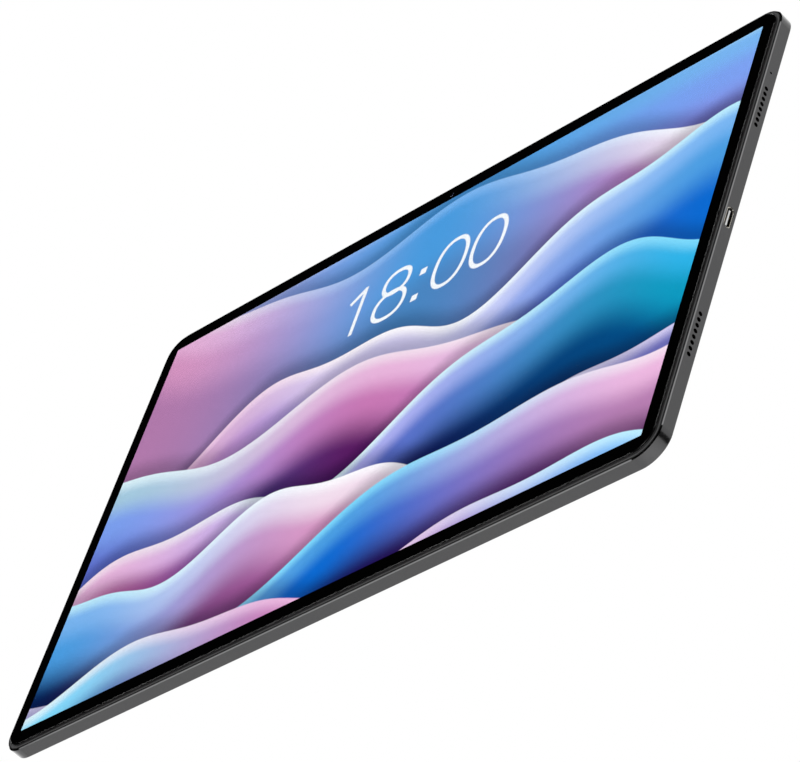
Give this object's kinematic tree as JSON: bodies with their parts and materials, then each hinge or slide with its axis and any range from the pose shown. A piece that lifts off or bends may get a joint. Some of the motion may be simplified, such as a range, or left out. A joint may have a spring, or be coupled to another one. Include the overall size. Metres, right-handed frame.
{
  "type": "tablet computer",
  "caption": "Thin landscape tablet computer: metal tray housing with rounded corners, raised cover glass, end speakers, USB-C port, keys and a pull-out card tray.",
  "frame": {"origin": "middle of the rear face, on the surface the tablet lies on", "axes": "+Z out of the screen, +X to the short edge with the charging port, +Y to the long edge above the front camera"},
  "size_m": [0.3173, 0.2059, 0.006],
  "materials": {
    "anodised_metal": "fine-grained dark grey anodising, satin",
    "key_metal": "dark grey anodising, satin",
    "frame_plastic": "moulded, fine satin",
    "cover_glass": "polished, with a fine bevel",
    "black_ink": "printed black border",
    "black_tape": "matt black",
    "black_foam": "closed-cell foam",
    "lcd_glass": "polished",
    "white_film": "satin white film",
    "clear_acrylic": "clear plate with printed dots",
    "white_tape": "matt white",
    "steel": "pressed sheet",
    "nickel": "nickel plate",
    "screw_steel": "blackened",
    "mesh_steel": "woven black mesh",
    "gold": "gold plate",
    "circuit_board": "solder mask",
    "flex_film": "polyimide film",
    "chip_plastic": "moulded epoxy",
    "connector_plastic": "moulded",
    "speaker_plastic": "moulded, satin",
    "speaker_cone": "pressed cone",
    "pouch_foil": "matt laminated foil",
    "graphite": "matt graphite film",
    "thermal_rubber": "soft pad",
    "lamp_plastic": "phosphor",
    "flash_plastic": "clear lens with a yellowish lamp behind",
    "lens_glass": "coated lens",
    "window_glass": "polished"
  },
  "bodies": {
    "chassis": {"antennas": "flex_film", "backlight_leds": "lamp_plastic", "backlight_tray": "steel", "battery_board": "circuit_board", "battery_cell_left": "pouch_foil", "battery_cell_right": "pouch_foil", "battery_lead": "flex_film", "battery_tabs": "nickel", "battery_tapes": "white_tape", "bezel_ink": "black_ink", "board_connectors": "connector_plastic", "board_screws": "screw_steel", "camera_cables": "flex_film", "card_reader": "nickel", "cover_glass": "cover_glass", "diffuser_films": "white_film", "display_driver_board": "circuit_board", "display_flex": "flex_film", "display_frame": "frame_plastic", "flash_lamp": "lamp_plastic", "flash_lens": "flash_plastic", "front_camera": "chip_plastic", "front_camera_lens": "lens_glass", "glass_tape": "black_tape", "graphite_sheet": "graphite", "key_brackets": "steel", "key_flex": "flex_film", "key_switches": "nickel", "lcd_panel": "lcd_glass", "light_guide": "clear_acrylic", "mainboard": "circuit_board", "memory_chips": "chip_plastic", "microphones": "nickel", "power_chips": "chip_plastic", "processor": "chip_plastic", "processor_shield": "nickel", "radio_chips": "chip_plastic", "radio_shield": "nickel", "rear_camera": "chip_plastic", "rear_camera_lens": "lens_glass", "rear_camera_ring": "key_metal", "rear_camera_window": "window_glass", "rear_housing": "anodised_metal", "reflector_film": "white_film", "speaker_boxes": "speaker_plastic", "speaker_diaphragms": "speaker_cone", "speaker_gaskets": "black_foam", "speaker_meshes": "mesh_steel", "thermal_pad": "thermal_rubber", "usb_board": "circuit_board", "usb_contacts": "gold", "usb_flex": "flex_film", "usb_shell": "nickel", "usb_tongue": "connector_plastic"},
    "power_button": {"power_button": "key_metal"},
    "volume_rocker": {"volume_rocker": "key_metal"},
    "card_tray": {"card_tray": "key_metal"},
    "eject_rod": {"eject_rod": "steel"},
    "eject_lever": {"eject_lever": "steel"}
  },
  "joints": [
    {"name": "power_button_press", "type": "slide", "parent": "chassis", "child": "power_button", "axis": [1, 0, 0], "range_m": [0, 0.00025], "stiffness_N_per_m": 300},
    {"name": "volume_rocker_tilt", "type": "hinge", "parent": "chassis", "child": "volume_rocker", "pos_m": [-0.118, 0.101, 0.00295], "axis": [0, 0, 1], "range_deg": [-1, 1], "stiffness_Nm_per_rad": 0.02},
    {"name": "card_tray_pull", "type": "slide", "parent": "chassis", "child": "card_tray", "axis": [0, 1, 0], "range_m": [0, 0.03]},
    {"name": "eject_rod_push", "type": "slide", "parent": "chassis", "child": "eject_rod", "axis": [0, -1, 0], "range_m": [0, 0.0015]},
    {"name": "eject_lever_turn", "type": "hinge", "parent": "chassis", "child": "eject_lever", "pos_m": [0.1015, 0.07075, 0.00285], "axis": [0, 0, -1], "range_deg": [0, 15.3]}
  ],
  "couplings": [
    {"joint": "eject_lever_turn", "follows": "eject_rod_push", "rad_per_m": 174.5}
  ]
}
